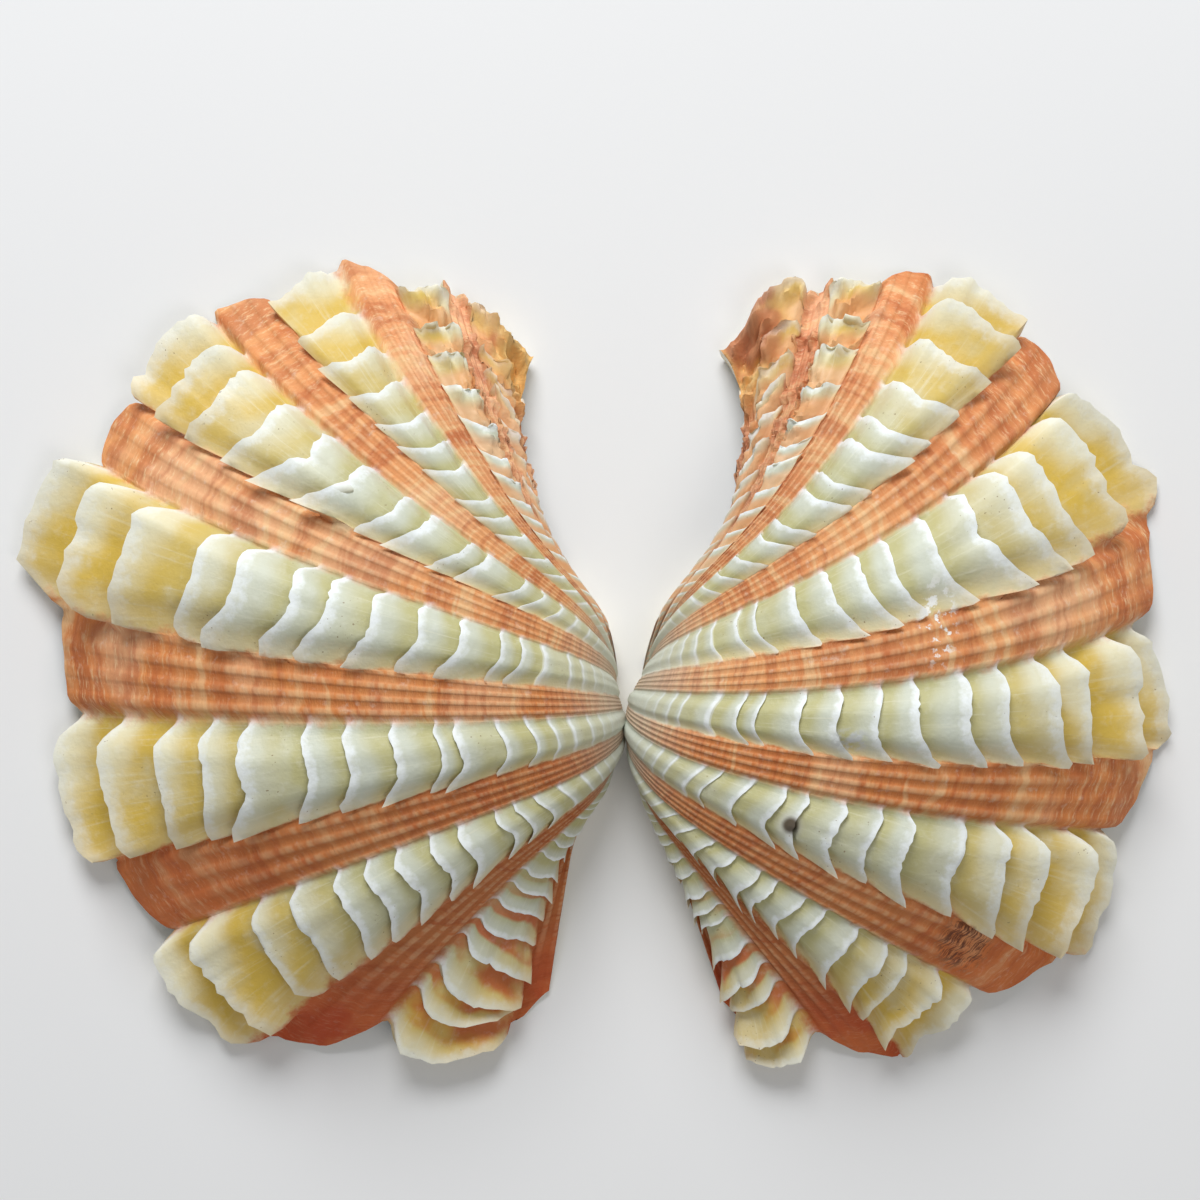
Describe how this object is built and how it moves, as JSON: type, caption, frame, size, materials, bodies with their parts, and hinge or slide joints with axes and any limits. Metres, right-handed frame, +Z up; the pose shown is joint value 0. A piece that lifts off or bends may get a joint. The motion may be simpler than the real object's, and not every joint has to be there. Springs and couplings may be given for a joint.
{
  "type": "giant clam shell",
  "caption": "Both valves of a fluted giant clam shell laid hollow side down, beaks touching: domed fans of broad ribs with overhanging scales.",
  "frame": {"origin": "middle of the face the pair rests on: bottom centre of the bounding box", "axes": "+X from the left valve's margin through the touching beaks to the right valve's margin, +Y along the hinge line towards the byssal gape, +Z up from the surface the valves lie on"},
  "size_m": [0.292, 0.2054, 0.0521],
  "materials": {
    "left_shell": "matt, chalky, smooth and porcelain-like inside",
    "right_shell": "matt, chalky, smooth and porcelain-like inside"
  },
  "bodies": {
    "root": {"left_valve": "left_shell", "right_valve": "right_shell"}
  },
  "joints": []
}
